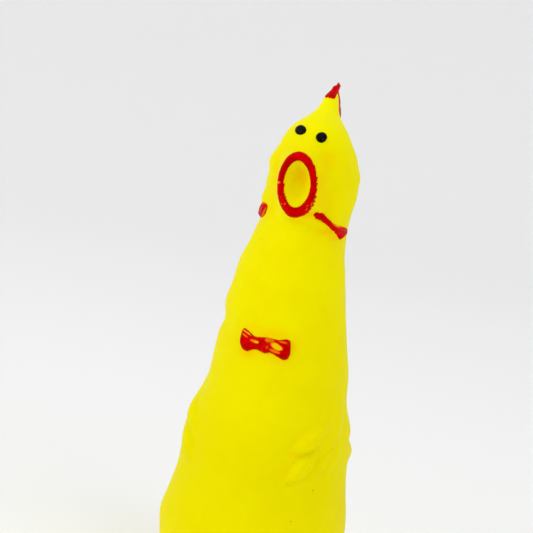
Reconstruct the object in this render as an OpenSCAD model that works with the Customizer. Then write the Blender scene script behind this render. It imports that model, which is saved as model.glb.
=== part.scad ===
// Screaming rubber chicken: a hollow squeeze toy that stands on its base, with a press-in squeaker.
// Millimetres, +Z up. The face looks along -Y and the bird's own left side is +X.
// The origin is the middle of the base, on the floor.

/* [Torso] */
// Radius of the flat ring that the toy stands on
base_r = 24; // [22.5:0.5:25.5]
// Widest radius of the belly
belly_r = 30; // [29:0.5:31]
// Radius of the chest under the bow tie
chest_r = 22.9; // [22.4:0.1:23.4]
// Thickness of the soft skin
skin = 2.2; // [2:0.1:2.4]
// Thickness of the floor of the torso, round the squeaker
base_thick = 4.5; // [4.5:0.1:5]

/* [Neck and head] */
// Height of the neck's bend, side to side
sway_z = 95; // [94:0.5:96]
// Height of the head's bend, back and forth
nod_z = 113; // [112.5:0.5:113.5]
// How far the skull sits behind the neck
skull_back = 3; // [2.5:0.5:3.5]
// How far the skull leans over to the bird's left
skull_side = 1; // [0:0.2:1.2]
// Widest radius of the skull
skull_r = 15.3; // [15:0.1:15.6]
// Height of the middle of the mouth
mouth_z = 133; // [132.5:0.5:134.5]
// Turn of the long mouth in the plane of the face, in degrees
mouth_turn = 6; // [0:1:7]
// Half width of the lip, outside
lip_half_w = 6.4; // [6:0.1:6.6]
// Half height of the lip, outside
lip_half_h = 10.6; // [10:0.1:10.8]
// Width of the lip's band
lip_band = 2.5; // [2:0.1:2.8]
// Depth of the mouth's closed cup
cup_depth = 4; // [3:0.5:4]
// Radius of an eye
eye_r = 2; // [1.8:0.05:2.1]

/* [Trim] */
// Height of the middle of the bow tie
bow_z = 81.8; // [81.5:0.1:82.6]
// How far the bow tie sits to the bird's left
bow_side = 1; // [0:0.1:1.2]
// Half width of the bow tie
bow_half_w = 8.3; // [8:0.1:8.6]
// How far the bow tie and the wattles stand proud
relief = 1.4; // [1.2:0.1:1.6]
// Thickness of the comb
comb_thick = 3.4; // [3:0.2:4]

/* [Squeeze panel] */
// Height of the middle of the part of the belly that is pressed
panel_z = 46; // [45:0.5:47]
// Radius of the part of the belly that is pressed
panel_r = 14; // [13:0.5:14.5]

/* [Feet] */
// Distance of each foot from the middle
foot_x = 12.5; // [12:0.5:13]
// How far forward the ankle is
ankle_y = -32; // [-33:0.5:-32]
// Radius of the ankle's round heel
heel_r = 3.2; // [3:0.1:3.4]
// Length of the middle toe from the ankle
toe_len = 13.5; // [12:0.5:14]

/* [Squeaker] */
// Outer radius of the squeaker's barrel
barrel_r = 10; // [9.5:0.5:10]
// Height of the top of the barrel
barrel_top = 18; // [17.5:0.5:18]
// Radius of the hole that the sound comes out of
sound_r = 2.2; // [2:0.1:2.4]
// Thickness of the reed
reed_thick = 0.25; // [0.2:0.05:0.3]

/* [Hidden] */
$fn = 96;

yellow = [0.95, 0.9, 0.05];
red = [0.8, 0.02, 0.03];
black = [0.04, 0.04, 0.04];
cream = [0.9, 0.88, 0.8];

glue = 0.05;       // gap between a piece and the skin that it is bonded to
swing = 0.3;       // gap between the two faces of a bend
rim_angle = 8;     // a socket's rim lies this many degrees below the ball's middle
ball_low = 50;     // a ball reaches this many degrees below its middle
ball_skin = 1.5;   // thickness of a ball's skin
collar_r = 19.2;   // outer radius of the torso's top rim
sway_r = collar_r / cos(rim_angle) - ball_skin - swing;  // radius of the neck's ball
neck_top_r = 16;   // outer radius of the neck's top rim
nod_r = neck_top_r / cos(rim_angle) - 1.35 - swing;      // radius of the head's ball
collar_z = sway_z - (sway_r + swing) * sin(rim_angle);   // height of the torso's rim
neck_top_z = nod_z - (nod_r + swing) * sin(rim_angle);   // height of the neck's rim

// Outline of the torso as [radius, height], from the floor to the collar
torso_line = [[base_r, 0], [base_r + 3.4, 2.6], [belly_r - 0.9, 9], [belly_r, 20], [belly_r - 1.4, 32],
    [belly_r - 2.8, 44], [chest_r + 2.4, 56], [chest_r, 68], [chest_r - 1.9, 80], [collar_r, collar_z]];
// Outline of the skull as [radius, height]
skull_line = [[skull_r - 2.3, 118], [skull_r - 0.7, 122], [skull_r, 129], [skull_r - 0.3, 136],
    [skull_r - 1.7, 141.5], [skull_r - 3.7, 146.5], [skull_r - 6.1, 150.8], [skull_r - 9, 154.2],
    [skull_r - 12, 156.2]];
skull_top = 157;

// A smooth line through the points, with n steps between each two
function bend_at(a, b, c, d, t) =
    0.5 * (2 * b + (c - a) * t + (2 * a - 5 * b + 4 * c - d) * t * t + (3 * b - a - 3 * c + d) * t * t * t);
function smooth(p, n) = [
    for (i = [0 : len(p) - 2])
        for (k = [0 : n - 1])
            bend_at(p[max(i - 1, 0)], p[i], p[i + 1], p[min(i + 2, len(p) - 1)], k / n),
    p[len(p) - 1]
];
torso_curve = smooth(torso_line, 3);
skull_curve = smooth(skull_line, 3);
function radius_at(curve, z) = lookup(z, [for (p = curve) [p[1], p[0]]]);
function ellipse(a, b) = [for (t = [0 : 7.5 : 352.5]) [a * cos(t), b * sin(t)]];

module lathe(points) {
    rotate_extrude() polygon(points);
}

module at(p) {
    translate(p) children();
}

// The outside of the torso, grown by g
module torso_solid(g = 0) {
    lathe(concat([[0, -g]], [for (p = torso_curve) [p[0] + g, p[1] == 0 ? -g : p[1]]], [[0, collar_z]]));
}

// The skull alone, grown by g
module skull_solid(g = 0) {
    at([skull_side, skull_back, 0])
        lathe(concat([[0, skull_line[0][1] - g]], [for (p = skull_curve) [p[0] + g, p[1] + (p[0] < 9 ? g : 0)]],
            [[0, skull_top + g]]));
}

// The yellow horn that carries the comb, from share a to share b of its length
horn_foot = [skull_side, 2, 149];
horn_tip = [skull_side, 15, 164.6];
horn_foot_r = 6;
horn_tip_r = 1.5;
horn_run = horn_tip - horn_foot;
function horn_point(t) = horn_foot + horn_run * t;
function horn_r(t) = horn_foot_r + (horn_tip_r - horn_foot_r) * t;
module horn(a, b, g = 0) {
    at(horn_point(a))
        rotate([-atan2(horn_run[1], horn_run[2]), 0, 0])
            cylinder(norm(horn_run) * (b - a), horn_r(a) + g, horn_r(b) + g, $fn = 64);
}

// Puts a shape drawn in the plane of the face, with its depth along +Z, onto the front of the mouth
muzzle_y = -14.8;
muzzle_tilt = 6;
module on_muzzle() {
    at([skull_side, muzzle_y, mouth_z]) rotate([90 - muzzle_tilt, 0, 0]) rotate(mouth_turn) children();
}

muzzle_long = 8;
module muzzle(g = 0) {
    on_muzzle() at([0, 0, -muzzle_long])
        linear_extrude(muzzle_long + g) polygon(ellipse(lip_half_w + 0.7 + g, lip_half_h + 0.7 + g));
}

// The scoop of the mouth, grown by g: as deep as the cup in the middle and shallow at its ends
scoop_r = 14;
module scoop(g = 0) {
    on_muzzle() intersection() {
        at([0, 0, -muzzle_long - g]) linear_extrude(muzzle_long + g + 1)
            polygon(ellipse(lip_half_w - lip_band + g, lip_half_h - lip_band + g));
        at([0, 0, scoop_r - cup_depth]) rotate([0, 90, 0]) cylinder(40, r = scoop_r + g, center = true);
    }
}

// The outside of the head without its mouth, grown by g
module head_solid(g = 0) {
    intersection() {
        at([0, 0, nod_z]) sphere(nod_r + g);
        at([0, 0, nod_z - nod_r * sin(ball_low)]) cylinder(nod_r * (sin(ball_low) + sin(24)), r = 20);
    }
    skull_solid(g);
    horn(0, 0.7, g);
}

// Where an eye sits: its axis runs out from the middle of the skull
skull_middle = [skull_side, skull_back, 137];
eye_spot_left = [4.6, -6.9, 148.3];
eye_spot_right = [-2.8, -6.2, 149.4];
module at_eye(spot) {
    run = spot - skull_middle;
    at(skull_middle)
        rotate([0, acos(run[2] / norm(run)), atan2(run[1], run[0])])
            at([0, 0, norm(run)]) children();
}

module torso_skin() {
    cavity_top = 86;
    color(yellow) difference() {
        torso_solid();
        lathe(concat([[0, base_thick]],
            [for (z = [base_thick, 8, 14, 20, 26, 32, 38, 44, 50, 56, 62, 68, 74, 80, cavity_top])
                [radius_at(torso_curve, z) - skin, z]],
            [[0, cavity_top]]));
        at([0, 0, sway_z]) sphere(sway_r + swing);
        at([0, 0, -1]) cylinder(base_thick + 2, r = barrel_r + glue);
        at([0, 0, -1]) cylinder(1 + flange_top, r = flange_r + 0.3);
        at([0, 0, panel_z]) rotate([90, 0, 0]) cylinder(50, r = panel_r + 0.4);
    }
}

module belly_panel() {
    color(yellow) intersection() {
        difference() {
            torso_solid();
            lathe(concat([[0, 20]],
                [for (z = [20, 26, 32, 38, 44, 50, 56, 62, 68]) [radius_at(torso_curve, z) - skin, z]], [[0, 68]]));
        }
        at([0, 0, panel_z]) rotate([90, 0, 0]) cylinder(50, r = panel_r);
    }
}

// A folded wing in low relief: a shoulder and four feathers that sweep forward and down
// Each is [distance back, height, half length, half width, slope in degrees]
feathers = [[4, 60, 13, 7, 47], [-5.3, 55.2, 9, 2.7, 36], [-8, 46.7, 8.5, 2.6, 52], [-0.4, 47.5, 9, 2.6, 44],
    [5.6, 49, 9.5, 2.7, 50]];
wing_turn = 64;
module wing(side) {
    color(yellow) mirror([side < 0 ? 1 : 0, 0, 0]) intersection() {
        difference() {
            torso_solid(relief);
            torso_solid(glue);
        }
        rotate(wing_turn) rotate([90, 0, 0]) linear_extrude(40)
            for (f = feathers)
                at([f[0], f[1]]) rotate(f[4]) polygon(ellipse(f[2], f[3]));
    }
}

// A short upturned fan of three feathers
tail_root = [0, 25, 21];
tail_slope = 52;
tail_thick = 5;
module tail() {
    color(yellow) difference() {
        at(tail_root) rotate([tail_slope, 0, 0]) linear_extrude(tail_thick, center = true)
            for (turn = [-26, 0, 26])
                rotate(turn) at([0, 7]) polygon(ellipse(3.6, 9 - abs(turn) * 0.05));
        torso_solid(glue);
    }
}

// A flat outline, drawn in the XZ plane, that stands on the torso's front between the two reliefs
module on_chest(low, high) {
    color(red) intersection() {
        difference() {
            torso_solid(high);
            torso_solid(low);
        }
        at([bow_side, 0, bow_z]) rotate([90, 0, 0]) linear_extrude(40) children();
    }
}

knot_half_w = 2;
knot_half_h = 2.3;
strap = 0.6;       // height of the strap that passes under the knot
module bow_tie_loops() {
    outer_half_h = 3.1;
    on_chest(glue, strap) square([2 * knot_half_w + 1, 3], center = true);
    on_chest(glue, relief)
        for (side = [-1, 1])
            polygon([[side * (knot_half_w + glue), -1.7], [side * (bow_half_w - 1), -outer_half_h],
                [side * bow_half_w, -outer_half_h + 1], [side * (bow_half_w - 0.2), outer_half_h - 1],
                [side * (bow_half_w - 1.1), outer_half_h], [side * (knot_half_w + glue), 1.9]]);
}

module bow_tie_knot() {
    on_chest(strap + glue, relief + 0.3) square([2 * knot_half_w, 2 * knot_half_h], center = true);
}

// A wattle lies along the jaw, from beside the mouth down to the side, and flares at its end
wattle_line = [[-8.6, 3.9], [-4.9, 2.5], [-2.6, 1.2], [2.1, -0.3], [5.5, -0.9], [9.4, -1.8], [9, -3.3], [6.1, -3.8],
    [2.1, -2.5], [-2.6, -0.6], [-4.9, 0.8], [-7.8, 2.2]];
module wattle(side) {
    wattle_turn = 62;
    color(red) rotate(side * wattle_turn) intersection() {
        rotate(-side * wattle_turn) difference() {
            skull_solid(relief);
            head_solid(glue);
            muzzle(glue);
        }
        at([0, 0, 122]) rotate([90, 0, 0]) linear_extrude(30)
            polygon([for (p = wattle_line) [side * p[0], p[1]]]);
    }
}

module leg(side) {
    leg_r = 4;
    color(yellow) difference() {
        at([side * foot_x, -20, leg_r]) rotate([90, 0, 0]) cylinder(-ankle_y - 20 - 1.6, r = leg_r, $fn = 48);
        torso_solid(glue);
        at([side * foot_x, ankle_y, heel_r]) rotate([0, 90, 0]) cylinder(20, r = heel_r + swing, center = true);
    }
}

module foot(side) {
    toe_thick = 3.4;
    toe_w = 4.6;
    heel_w = 7.4;
    color(red) at([side * foot_x, ankle_y, 0]) {
        at([0, 0, heel_r]) rotate([0, 90, 0]) cylinder(heel_w, r = heel_r, center = true);
        linear_extrude(toe_thick) polygon([[-heel_w / 2, 0], [heel_w / 2, 0], [5, -6.5], [-5, -6.5]]);
        for (turn = [-30, 0, 30])
            rotate(turn) {
                long = toe_len - abs(turn) * 0.05;
                at([-toe_w / 2, -long + toe_w / 2, 0]) cube([toe_w, long - toe_w / 2 - 2, toe_thick]);
                at([0, -long + toe_w / 2, 0]) cylinder(toe_thick, r = toe_w / 2, $fn = 32);
            }
    }
}

module neck_skin() {
    ball_top = 20;
    z_wide = sway_z + sway_r * sin(ball_top);
    color(yellow) difference() {
        union() {
            intersection() {
                at([0, 0, sway_z]) sphere(sway_r);
                at([0, 0, sway_z - sway_r * sin(ball_low)])
                    cylinder(sway_r * (sin(ball_low) + sin(ball_top)), r = 20);
            }
            at([0, 0, z_wide - glue]) cylinder(neck_top_z - z_wide + glue, sway_r * cos(ball_top), neck_top_r);
        }
        intersection() {
            at([0, 0, sway_z]) sphere(sway_r - ball_skin);
            at([0, 0, 60]) cylinder(z_wide - 60, r = 30);
        }
        at([0, 0, sway_z]) cylinder(nod_z - 6 - sway_z, r = 14.5);
        at([0, 0, nod_z]) sphere(nod_r + swing);
    }
}

module head_skin() {
    skull_skin = 1.9;
    color(yellow) difference() {
        union() {
            head_solid();
            muzzle();
        }
        difference() {
            union() {
                at([0, 0, nod_z]) sphere(nod_r - ball_skin);
                at([skull_side, skull_back, 0]) lathe(concat([[0, 114]],
                    [[skull_r - 4.4, 114], [skull_r - 4.2, 118], [skull_r - skull_skin, 124]],
                    [for (z = [129, 136, 141.5, 146, 149, 152]) [radius_at(skull_curve, z) - skull_skin, z]],
                    [[0, 154.5]]));
            }
            scoop(1.6);
        }
        scoop();
        for (spot = [eye_spot_left, eye_spot_right])
            at_eye(spot) at([0, 0, -1]) cylinder(6, r = eye_r + glue, $fn = 48);
    }
}

module mouth_lip() {
    lip_high = 1.5;
    color(red) on_muzzle() difference() {
        union() {
            at([0, 0, glue]) linear_extrude(lip_high * 0.6) polygon(ellipse(lip_half_w, lip_half_h));
            at([0, 0, glue + lip_high * 0.6]) linear_extrude(lip_high * 0.4)
                polygon(ellipse(lip_half_w - 0.5, lip_half_h - 0.5));
        }
        linear_extrude(lip_high + 1) polygon(ellipse(lip_half_w - lip_band, lip_half_h - lip_band));
    }
}

module eye(spot) {
    dome_r = 3.2;
    dome_drop = dome_r - sqrt(dome_r * dome_r - eye_r * eye_r);
    eye_top = 0.75;
    color(black) at_eye(spot) intersection() {
        at([0, 0, eye_top - dome_r]) sphere(dome_r, $fn = 64);
        at([0, 0, -1 + glue]) cylinder(1 - glue + eye_top + dome_drop, r = eye_r, $fn = 48);
    }
}

// The comb caps the horn and runs down the back of the head as a row of round lobes
// Each lobe is [distance back, height, radius]
comb_lobes = [[15.2, 164.2, 2.2], [18, 159.8, 2.9], [19.4, 154.2, 3.1], [19.6, 148, 3], [18.4, 142.4, 2.4]];
module comb() {
    color(red) difference() {
        union() {
            at([skull_side, 0, 0]) rotate([0, 0, 90]) rotate([90, 0, 0])
                linear_extrude(comb_thick, center = true) {
                    for (lobe = comb_lobes)
                        at([lobe[0], lobe[1]]) circle(lobe[2], $fn = 40);
                    polygon(concat([for (lobe = comb_lobes) [lobe[0] + 0.4, lobe[1]]], [[12, 141], [8, 152]]));
                }
            horn(0.6, 0.98);
        }
        head_solid(glue);
    }
}

flange_top = 2.1;
flange_r = 12.5;
barrel_skin = 1.2;
housing_floor = 3.4;
module squeaker_housing() {
    color(cream) difference() {
        union() {
            at([0, 0, 0.4]) cylinder(flange_top - 0.4 - glue, r = flange_r);
            at([0, 0, 0.4]) cylinder(barrel_top - 0.4, r = barrel_r);
            at([0, 0, base_thick + 0.1]) cylinder(1, barrel_r + 0.9, barrel_r);
        }
        at([0, 0, housing_floor]) cylinder(barrel_top, r = barrel_r - barrel_skin);
        cylinder(housing_floor + 1, r = sound_r);
    }
}

plug_low = 15.5;
seat_r = 2.55;
module squeaker_cap() {
    color(cream) difference() {
        union() {
            at([0, 0, plug_low]) cylinder(barrel_top + glue - plug_low, r = barrel_r - barrel_skin - glue);
            at([0, 0, barrel_top + glue]) cylinder(1.2, r = barrel_r);
        }
        at([0, 0, plug_low - 1]) cylinder(8, r = seat_r + glue);
    }
}

// A short tube, open along one side below the cap, where the reed lies over its channel
seat_low = 6.5;
seat_face = 0.2;
module reed_seat() {
    channel_r = 1.5;
    color(cream) difference() {
        at([0, 0, seat_low]) cylinder(barrel_top + 1.2 - seat_low, r = seat_r);
        at([0, 0, seat_low + 1]) cylinder(20, r = channel_r);
        at([seat_face, -5, seat_low - 1]) cube([5, 10, plug_low - seat_low + 1]);
    }
}

reed_gap = 0.15;
reed_low = 7;
reed_top = 15.2;
reed_w = 4;
module squeaker_reed() {
    color(cream) at([seat_face + reed_gap, -reed_w / 2, reed_low]) cube([reed_thick, reed_w, reed_top - reed_low]);
}

module reed_clip() {
    color(cream) intersection() {
        at([seat_face + reed_gap + reed_thick + 0.2, -reed_w / 2, 13.8]) cube([3, reed_w, plug_low - 13.8 - 0.02]);
        cylinder(30, r = seat_r);
    }
}

torso_skin();
belly_panel();
wing(1);  // wing_left
wing(-1);  // wing_right
tail();
bow_tie_loops();
bow_tie_knot();
leg(1);  // leg_left
leg(-1);  // leg_right
foot(1);  // foot_left
foot(-1);  // foot_right
neck_skin();
head_skin();
mouth_lip();
eye(eye_spot_left);  // eye_left
eye(eye_spot_right);  // eye_right
comb();
wattle(1);  // wattle_left
wattle(-1);  // wattle_right
squeaker_housing();
squeaker_cap();
reed_seat();
reed_clip();
squeaker_reed();
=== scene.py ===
"""Looks of the screaming rubber chicken: one moulded skin in three pieces, hand-painted red relief,
glossy eye dots, soft feet and a tail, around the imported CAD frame.
Lengths are in millimetres until a mesh is made."""
import math

import bmesh
import bpy
import numpy as np
from mathutils import Matrix, Vector


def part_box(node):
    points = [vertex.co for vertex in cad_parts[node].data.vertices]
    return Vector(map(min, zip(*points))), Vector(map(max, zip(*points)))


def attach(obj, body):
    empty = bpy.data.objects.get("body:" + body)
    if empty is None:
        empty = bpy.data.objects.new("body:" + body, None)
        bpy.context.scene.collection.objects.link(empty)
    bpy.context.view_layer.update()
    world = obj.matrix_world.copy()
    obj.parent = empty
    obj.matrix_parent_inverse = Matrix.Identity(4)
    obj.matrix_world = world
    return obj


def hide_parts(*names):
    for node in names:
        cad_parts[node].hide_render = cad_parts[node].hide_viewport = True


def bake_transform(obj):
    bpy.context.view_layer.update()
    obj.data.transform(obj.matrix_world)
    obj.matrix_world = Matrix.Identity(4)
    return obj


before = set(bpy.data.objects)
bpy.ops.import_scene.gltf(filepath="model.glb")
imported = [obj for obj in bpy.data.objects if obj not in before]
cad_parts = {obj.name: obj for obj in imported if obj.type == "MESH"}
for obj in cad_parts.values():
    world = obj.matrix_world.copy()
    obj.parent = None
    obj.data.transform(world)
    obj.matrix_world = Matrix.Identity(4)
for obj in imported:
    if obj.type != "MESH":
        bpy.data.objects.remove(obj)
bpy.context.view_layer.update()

MM = 0.001
TAU = 2 * math.pi


# ---------------------------------------------------------------- numbers of the shape

def spline(points):
    """A smooth function through (x, y) points."""
    xs, ys = np.array(points, float).T
    slopes = np.gradient(ys, xs)

    def value(x):
        x = np.clip(x, xs[0], xs[-1])
        i = np.clip(np.searchsorted(xs, x, side="right") - 1, 0, len(xs) - 2)
        h = xs[i + 1] - xs[i]
        t = (x - xs[i]) / h
        a, b = ys[i], ys[i + 1]
        ma, mb = slopes[i] * h, slopes[i + 1] * h
        return a + t * (ma + t * (3 * (b - a) - 2 * ma - mb + t * (2 * (a - b) + ma + mb)))

    return value


# Level along the body: the height in millimetres from 9 up, and stretched round the base's edge below that
LEVEL_TIP = 164.4
height_at = spline([(0, 0), (2, 0.15), (4, 1.3), (6, 4.0), (9, 9.0), (12, 12.0), (200, 200.0)])
# The body by level: half width across it, and half depth from front to back
BODY = [(0, 24, 24), (2, 25.9, 25.9), (4, 27.6, 27.6), (6, 28.6, 28.6), (9, 29.3, 29.3), (14, 29.7, 29.6),
        (20, 30.0, 29.8), (28, 29.1, 28.8), (36, 27.7, 27.4), (48, 27.0, 26.6), (56, 25.8, 25.3),
        (64, 23.5, 23.2), (74, 22.1, 21.7), (86, 20.0, 19.8), (98, 18.4, 18.2), (105, 17.1, 16.9),
        (111, 15.4, 15.6), (117, 14.6, 15.0), (124, 14.5, 14.9), (132, 14.8, 15.0), (138, 14.3, 14.5),
        (142, 13.3, 13.8), (146, 11.4, 12.6), (150, 8.9, 10.8), (152, 6.95, 9.5), (154, 4.85, 7.7),
        (156, 3.35, 5.7), (158, 2.7, 4.2), (160, 2.15, 3.2), (161.5, 1.35, 2.3), (162.5, 0.85, 1.6),
        (163.5, 0.5, 1.0), (164.4, 0.2, 0.35)]
half_width = spline([(level, wide) for level, wide, _ in BODY])
half_depth = spline([(level, deep) for level, _, deep in BODY])
centre_x = spline([(0, 0), (14, 0.4), (30, 0.5), (60, 0.6), (72, 1.3), (84, 0.8), (98, 0), (106, -0.1),
                   (112, 0.2), (122, 0.6), (130, 1.1), (140, 0.8), (150, 0.95), (154, 0.9), (158, 0.8),
                   (160, 0.7), (162, 0.8), (163.2, 1.15), (164.4, 1.6)])
centre_y = spline([(0, 0), (95, 0), (104, 0.6), (112, 1.7), (122, 3.3), (132, 4.1), (142, 3.8),
                   (150, 3.8), (152, 4.7), (154, 6.6), (156, 8.9), (158, 10.5), (160, 11.7), (162, 13.2),
                   (163.5, 14.5), (164.4, 15.1)])

SEAM_LOW = 84.0        # the ring where the torso's skin ends: all of it goes with the torso
SEAM_HIGH = 104.0      # the ring where the head's skin starts: all of it goes with the neck
WALL = 2.0             # thickness of the skin

# Mouth: the middle of the lip, how far it leans back and how far it is turned in the plane of the face
MOUTH_X, MOUTH_Z = 1.3, 132.8
MOUTH_LEAN = math.radians(6)
MOUTH_TURN = math.radians(5.7)
FACE_LEVELS = (112, 156)  # the face is shaped between these levels
MUZZLE_HALF = (10.0, 15.5)
MUZZLE_HIGH = 3.9         # how far the muzzle stands out
MUZZLE_FLAT = 0.55        # share of the face's curve that the muzzle takes away at its sides
DISH_HALF = (5.1, 8.4)
DISH_DEEP = 3.0           # how far the mouth is hollowed in
DISH_TILT = 0.22          # how much deeper the dish gets towards its top
LIP_HALF = (5.38, 8.9)    # middle line of the lip's band
LIP_HIGH = 0.95           # how far it stands out
# Creases beside the muzzle: across and up from the mouth, half width, half length and depth
CREASES = [(8.0, 8.0, 2.0, 3.6, 0.45), (8.2, -4.5, 1.7, 4.5, 0.4), (-8.6, 0.5, 1.8, 8.0, 0.35)]

# Eyes, seen from the front: the middle of each, the way out to its side and the way out to its top
EYES = {"eye_left": ((4.8, 148.3), (1.56, 0.25), (-0.47, 1.58)),
        "eye_right": ((-2.5, 149.4), (2.0, 0.47), (-0.68, 1.36))}
EYE_SEEDS = {"eye_left": 51, "eye_right": 57}
EYE_HIGH = 0.72           # how far they stand out

# Soft lumps of the hand-poured casting: azimuth, level, half size across and along, height
LUMPS = [(-73, 92, 9, 4.0, 0.6), (-73, 85.0, 9, 2.8, -0.7), (-78, 46, 10, 7, -0.3),
         (-72, 20, 12, 9, 0.95), (-73, 63, 9, 7, -0.8), (12, 103, 8, 6, 0.35), (28, 95, 6, 5, -0.35),
         (-8, 62, 12, 8, 0.3), (48, 24, 12, 9, 0.35), (75, 118, 6, 3.5, -0.45), (78, 127, 8, 5, 0.3),
         (-73, 119.5, 8, 3.5, -0.9), (-75, 126, 8, 4, 0.6), (104, 97, 9, 7, -0.55),
         (-67, 138.0, 5, 2.4, 0.85), (-66, 143.5, 6, 2.2, -0.3), (-73, 128.5, 6, 1.5, -0.35),
         (-35, 28, 12, 9, 0.4), (107, 53, 10, 11, 0.75), (92, 50, 7, 5, 0.3), (150, 40, 14, 12, 0.4),
         (-150, 66, 12, 10, 0.35), (106, 52.0, 5, 1.4, -0.5), (106, 48.0, 5, 2.2, 0.8),
         (107, 37, 10, 6, 0.35), (106, 136.0, 6, 2.5, 0.4), (170, 96, 10, 8, -0.35),
         (-120, 24, 12, 8, 0.4), (130, 82, 9, 8, 0.3), (0, 117, 9, 3, -0.35)]
# Orange stains and painted shade round the bow tie, round the mouth, under the wattle and in the hollows
# before the feathers' ends, seen from the front: place, half sizes and strength
STAINS_AND_SHADE = [(1.1, 81.6, 8.5, 3.6, 0.35), (2.6, 85.6, 5.0, 1.9, 0.45), (-4.2, 78.0, 3.6, 1.7, 0.6),
          (-4.0, 86.4, 2.5, 1.2, 0.3), (5.6, 77.4, 4.5, 1.5, 0.3), (9.9, 82.5, 1.3, 3.0, 0.4),
          (6.2, 124.2, 2.8, 1.9, 0.85), (8.3, 134.5, 1.2, 5.5, 0.42), (9.0, 128.5, 1.3, 3.0, 0.4),
          (11.5, 118.9, 2.6, 1.2, 0.75), (13.2, 117.1, 1.6, 1.2, 0.5), (3.2, 121.2, 3.5, 1.0, 0.35),
          (-8.1, 122.5, 1.8, 2.2, 0.35), (16.2, 49.2, 1.8, 1.5, 0.3), (14.8, 43.6, 1.6, 2.2, 0.3)]
# Dark specks in the skin: azimuth, level, half size
SPECKS = [(-60, 64.5, 0.32), (55, 38.0, 0.38), (39.5, 28.2, 0.32), (69, 51.5, 0.34), (-52, 129.5, 0.28),
          (-40, 113.2, 0.26), (-30, 146.5, 0.22), (140, 72, 0.3), (-150, 30, 0.35), (110, 128, 0.25),
          (-118, 96, 0.3), (175, 52, 0.3)]
# Levels where the unevenness of the casting fades in and out
UNEVEN_FROM, UNEVEN_TO = (7, 14), (146, 156)
# Broad unevenness: waves round, waves along, phases and height
RIPPLES = [(3, 0.11, 0.4, 1.0, 0.22), (5, 0.17, 2.1, 0.3, 0.15), (7, 0.29, 4.0, 2.2, 0.10),
           (2, 0.06, 1.2, 5.1, 0.20), (11, 0.43, 0.7, 3.3, 0.055), (13, 0.62, 5.0, 1.7, 0.04),
           (17, 0.36, 2.8, 4.4, 0.035)]

# The mould's parting line down both sides: azimuths, height and half width
PARTING_TURNS = (88, -92)
PARTING_HIGH, PARTING_HALF = 0.13, 0.28

# A wing: azimuth of its middle, the body's radius there, the level above it, and its feathers as
# distance back, height, half length, half width, slope and height of relief
WING_TURN = 64.0
WING_TURN_RIGHT = 71.0    # the right wing is moulded a little further back
WING_SHARE_RIGHT = 0.6    # and less deep
WING_R = 26.5
WING_TOP = 100
FEATHERS = [(4.0, 60.0, 13.0, 7.0, 47, 0.7), (-5.3, 55.2, 9.8, 3.5, 36, 2.3),
            (-8.6, 45.9, 8.2, 3.4, 52, 2.3), (-0.4, 47.5, 9.0, 2.6, 44, 0.7),
            (5.6, 49.0, 9.5, 2.7, 50, 0.6)]


def smooth(a, b, x):
    """0 below a, 1 above b and a soft step between them."""
    t = np.clip((x - a) / (b - a), 0, 1)
    return t * t * (3 - 2 * t)


def wrapped(degrees):
    """The same angle between -180 and 180."""
    return (degrees + 180) % 360 - 180


def oval_far(p, q, half):
    """How far a place is from the middle of an oval, with 1 on its edge."""
    return np.sqrt((p / half[0]) ** 2 + (q / half[1]) ** 2)


def crease_at(p, q, cp, cq, wide, long):
    """How far a place lies in a crease beside the muzzle, from 0 to 1."""
    return np.exp(-((p - cp) / wide) ** 2 - ((q - cq) / long) ** 4)


def mouth_plane(x, z):
    """Place in the plane of the face: across and up from the middle of the mouth, by its own axis."""
    dx, dz = x - MOUTH_X, z - MOUTH_Z
    c, s = math.cos(MOUTH_TURN), math.sin(MOUTH_TURN)
    return dx * c + dz * s, -dx * s + dz * c


def from_mouth_plane(p, q):
    """The reverse: from a place in the plane of the face to x and z."""
    c, s = math.cos(MOUTH_TURN), math.sin(MOUTH_TURN)
    return MOUTH_X + p * c - q * s, MOUTH_Z + p * s + q * c


def wing_relief(turn, level):
    """Height of the wings' relief at an azimuth and a level: feathers, each with a hollow past its end."""
    high = np.zeros(np.broadcast(turn, level).shape)
    hollow = 0
    s = WING_R * np.radians(np.where(turn > 0, turn - WING_TURN, -turn - WING_TURN_RIGHT))
    for back, up, half_l, half_w, slope, rise in FEATHERS:
        a = math.radians(slope)
        u = ((s - back) * math.cos(a) + (level - up) * math.sin(a)) / half_l
        v = (-(s - back) * math.sin(a) + (level - up) * math.cos(a)) / half_w
        taper = 1 - 0.35 * smooth(-0.4, 1, u)
        q = np.abs(u) ** 2.4 + (v / taper) ** 2
        ridge = rise * smooth(0, 1, 1.1 * (1 - q)) * (1 - 0.6 * smooth(-0.3, 1, u))
        high = np.maximum(high, ridge)
        hollow = hollow + 0.30 * rise * np.exp(-((u + 1.25) / 0.28) ** 2 - (v / 1.2) ** 2)
    return (high - hollow * (high < 0.02)) * np.where(turn > 0, 1, WING_SHARE_RIGHT)


def casting_bumps(t, turn, level, rx):
    """Height of the uneven casting: broad ripples, soft lumps and the parting line."""
    bump = np.zeros_like(t)
    for turns, along, phase_round, phase_along, rise in RIPPLES:
        bump += rise * np.sin(turns * t + phase_round) * np.sin(along * level + phase_along)
    for where, up, wide, tall, rise in LUMPS:
        across = np.radians(wrapped(turn - where)) * np.maximum(rx, 8)
        bump += rise * np.exp(-(across / wide) ** 2 - ((level - up) / tall) ** 2)
    for where in PARTING_TURNS:
        across = np.radians(wrapped(turn - where)) * np.maximum(rx, 3)
        wander = 0.25 * np.sin(level * 0.21) + 0.12 * np.sin(level * 0.83)
        ridge = PARTING_HIGH * np.exp(-((across - wander) / PARTING_HALF) ** 2)
        bump += ridge * (0.75 + 0.25 * np.sin(level * 0.5))
    return bump


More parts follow.
